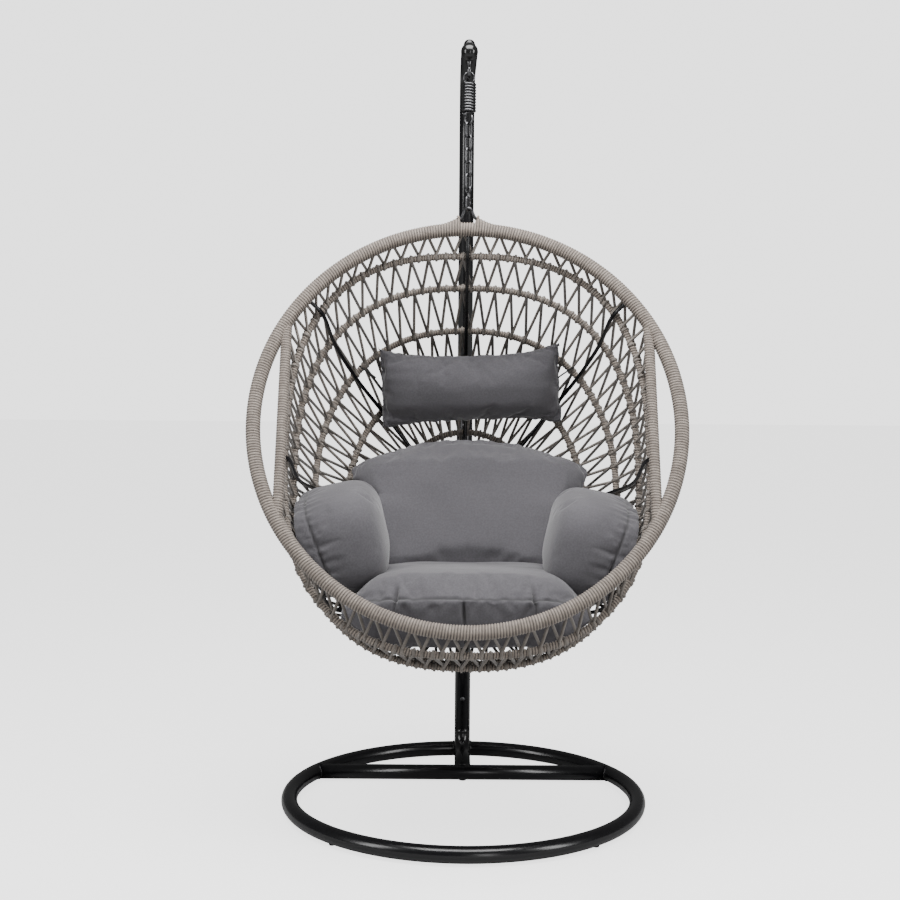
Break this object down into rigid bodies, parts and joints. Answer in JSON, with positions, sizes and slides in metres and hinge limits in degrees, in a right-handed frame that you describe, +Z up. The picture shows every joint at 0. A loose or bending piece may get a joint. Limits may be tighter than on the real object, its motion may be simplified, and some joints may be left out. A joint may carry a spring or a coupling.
{
  "type": "hanging egg chair",
  "caption": "Rope-wrapped basket seat with loose cushions, hung on an extension spring, a short chain and a swivel snap hook from a bent tube stand on a ring base.",
  "frame": {"origin": "on the floor, in the middle of the whole chair's outline seen from above", "axes": "+Z up, -Y the way the chair faces, +X to the right of someone looking at its front"},
  "size_m": [1.0494, 1.0723, 1.9657],
  "materials": {
    "black_powder_coat": "satin",
    "dark_zinc_steel": "satin",
    "black_plastic": "satin",
    "taupe_rope": "matte",
    "taupe_cord": "matte",
    "grey_fabric": "matte",
    "black_tie_cord": "matte"
  },
  "bodies": {
    "stand": {"base_ring": "black_powder_coat", "base_crossbar": "black_powder_coat", "glide_1": "black_plastic", "glide_2": "black_plastic", "glide_3": "black_plastic", "glide_4": "black_plastic", "foot_elbow": "black_powder_coat", "foot_spigot": "black_powder_coat", "lower_post": "black_powder_coat", "upper_post": "black_powder_coat", "lower_bolt": "dark_zinc_steel", "lower_nut": "dark_zinc_steel", "upper_bolt": "dark_zinc_steel", "upper_nut": "dark_zinc_steel", "arm_end_cap": "black_plastic", "hook_washer": "dark_zinc_steel", "hook_cap_nut": "black_plastic", "arm_hook": "dark_zinc_steel"},
    "spring": {"spring": "dark_zinc_steel"},
    "upper_link": {"chain_link_1": "dark_zinc_steel"},
    "chain": {"chain_link_2": "dark_zinc_steel", "chain_link_3": "dark_zinc_steel", "chain_link_4": "dark_zinc_steel", "chain_link_5": "dark_zinc_steel", "swivel_eye": "dark_zinc_steel"},
    "basket": {"snap_hook": "dark_zinc_steel", "hanging_eye": "dark_zinc_steel", "front_rim": "taupe_rope", "side_bar_left": "taupe_rope", "side_bar_right": "taupe_rope", "hoop_1": "taupe_rope", "hoop_2": "taupe_rope", "hoop_3": "taupe_rope", "hoop_4": "taupe_rope", "hoop_5": "taupe_rope", "hub_plate": "black_powder_coat", "rib_top": "black_powder_coat", "rib_upper_right": "black_powder_coat", "rib_side_right": "black_powder_coat", "rib_lower_right": "black_powder_coat", "rib_bottom": "black_powder_coat", "rib_lower_left": "black_powder_coat", "rib_side_left": "black_powder_coat", "rib_upper_left": "black_powder_coat", "cord_panel_1": "taupe_cord", "cord_panel_2": "taupe_cord", "cord_panel_3": "taupe_cord", "cord_panel_4": "taupe_cord", "cord_panel_5": "taupe_cord", "cord_panel_6": "taupe_cord", "seat_cushion": "grey_fabric", "back_cushion": "grey_fabric", "arm_cushion_left": "grey_fabric", "arm_cushion_right": "grey_fabric", "head_pillow": "grey_fabric", "pillow_tie_left": "black_tie_cord", "pillow_tie_right": "black_tie_cord"},
    "gate": {"snap_gate": "dark_zinc_steel"}
  },
  "joints": [
    {"name": "swing", "type": "hinge", "parent": "stand", "child": "spring", "pos_m": [0, -0.0359, 1.8828], "axis": [1, 0, 0], "range_deg": [-20, 5]},
    {"name": "bounce", "type": "slide", "parent": "spring", "child": "upper_link", "axis": [0, 0, -1], "range_m": [0, 0.045], "stiffness_N_per_m": 18000, "springref_m": -0.008, "deforming": ["spring"]},
    {"name": "sway", "type": "hinge", "parent": "upper_link", "child": "chain", "pos_m": [0, -0.0359, 1.7301], "axis": [0, 1, 0], "range_deg": [-8, 8]},
    {"name": "spin", "type": "hinge", "parent": "chain", "child": "basket", "pos_m": [0, -0.0359, 1.5846], "axis": [0, 0, 1], "range_deg": [-60, 60], "stiffness_Nm_per_rad": 0.2},
    {"name": "gate", "type": "hinge", "parent": "basket", "child": "gate", "pos_m": [0.00488, -0.02494, 1.5603], "axis": [0.9135, -0.4067, 0], "range_deg": [0, 20], "stiffness_Nm_per_rad": 0.002, "springref_deg": -17.19}
  ]
}
